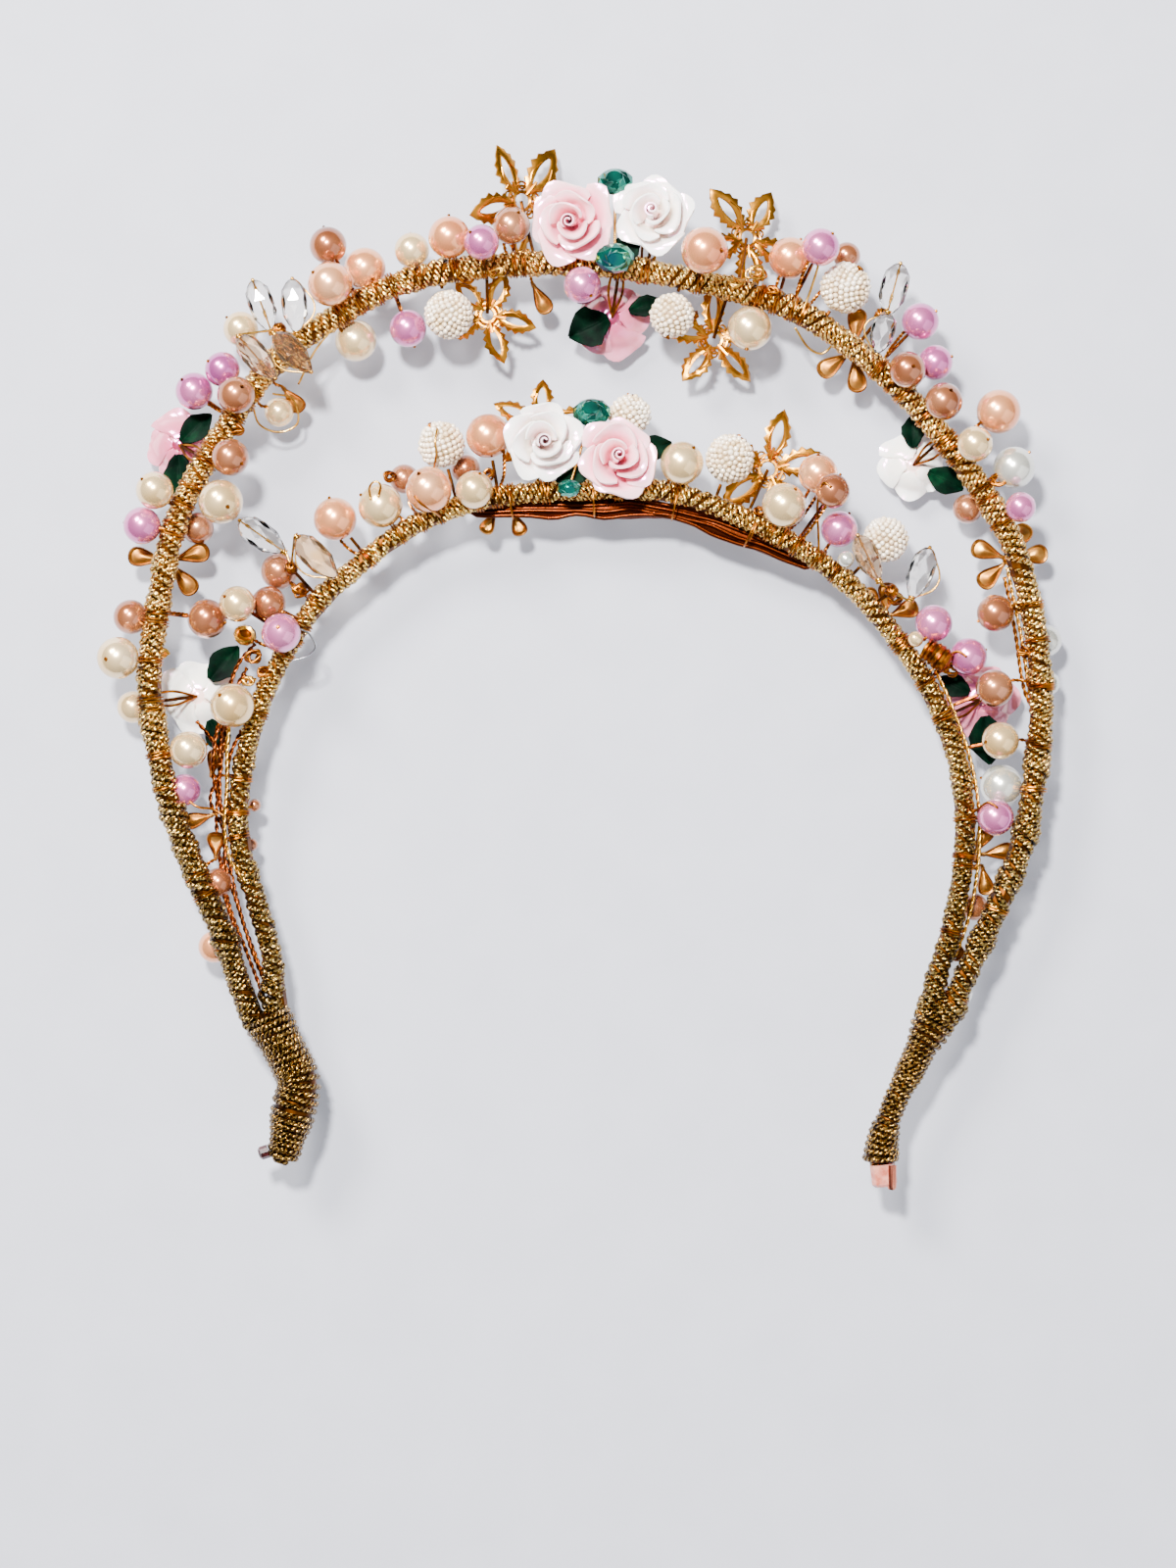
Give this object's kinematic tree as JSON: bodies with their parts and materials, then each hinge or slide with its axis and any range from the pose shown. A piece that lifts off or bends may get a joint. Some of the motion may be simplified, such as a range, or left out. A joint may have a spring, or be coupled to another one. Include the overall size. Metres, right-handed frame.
{
  "type": "pearl headband",
  "caption": "Double-arch headband wound with gold cord and set with wired pearls, porcelain roses, pierced gold flowers and crystals.",
  "frame": {"origin": "middle of the bounding box on the plane that the headband lies on, under its front", "axes": "+Y from the two ends towards the crown, +Z out of the back of the headband as it lies on its front, +X to the right when the back is seen with the crown up"},
  "size_m": [0.2043, 0.2234, 0.0325],
  "materials": {
    "gold_cord": null,
    "gold_wire": null,
    "gold_metal": null,
    "pink_porcelain": null,
    "white_porcelain": null,
    "seed_beads": null,
    "crystal": null,
    "green_crystal": null,
    "cream_pearl": null,
    "peach_pearl": null,
    "pink_sleeve": null,
    "copper": null
  },
  "bodies": {
    "root": {"halo_band": "gold_cord", "inner_band": "gold_cord", "left_end_binding": "gold_cord", "right_end_binding": "gold_cord", "halo_vine_left": "gold_wire", "halo_vine_right": "gold_wire", "inner_vine_left": "gold_wire", "inner_vine_right": "gold_wire", "flower_halo_left": "gold_metal", "flower_halo_inside_left": "gold_metal", "flower_halo_right": "gold_metal", "flower_halo_inside_right": "gold_metal", "flower_inner_right": "gold_metal", "flower_inner_left": "gold_metal", "drop_flower_left": "gold_metal", "drop_flower_right": "gold_metal", "drop_flower_halo_right": "gold_metal", "drop_flower_inner_right": "gold_metal", "rose_halo_pink": "pink_porcelain", "rose_inner_pink": "pink_porcelain", "rose_front_crown_pink": "pink_porcelain", "rose_front_left_pink": "pink_porcelain", "rose_front_right_pink": "pink_porcelain", "rose_halo_white": "white_porcelain", "rose_inner_white": "white_porcelain", "rose_front_left_white": "white_porcelain", "rose_front_right_white": "white_porcelain", "seed_ball_halo_left": "seed_beads", "seed_ball_halo_crown": "seed_beads", "seed_ball_halo_right": "seed_beads", "seed_ball_inner_left": "seed_beads", "seed_ball_inner_crown": "seed_beads", "seed_ball_inner_middle": "seed_beads", "seed_ball_inner_right": "seed_beads", "crystals_halo_left": "crystal", "crystals_halo_right": "crystal", "crystals_inner_left": "crystal", "crystals_inner_right": "crystal", "green_stones_halo": "green_crystal", "green_stones_inner": "green_crystal", "pearl_left_low": "cream_pearl", "pearl_left_outer": "cream_pearl", "pearl_left_high": "cream_pearl", "pearl_halo_under_left": "cream_pearl", "pearl_halo_under_right": "cream_pearl", "pearl_inner_cream_left": "cream_pearl", "pearl_inner_cream_crown": "cream_pearl", "pearl_inner_cream_right": "cream_pearl", "pearl_right_ivory": "cream_pearl", "pearl_right_low_ivory": "cream_pearl", "pearl_halo_peach_left": "peach_pearl", "pearl_halo_peach_top_left": "peach_pearl", "pearl_halo_peach_top_right": "peach_pearl", "pearl_right_peach": "peach_pearl", "pearl_inner_peach_left": "peach_pearl", "pearl_inner_peach_middle": "peach_pearl", "pearl_inner_peach_high": "peach_pearl", "right_end_sleeve": "pink_sleeve", "left_end_tip": "copper"}
  },
  "joints": []
}
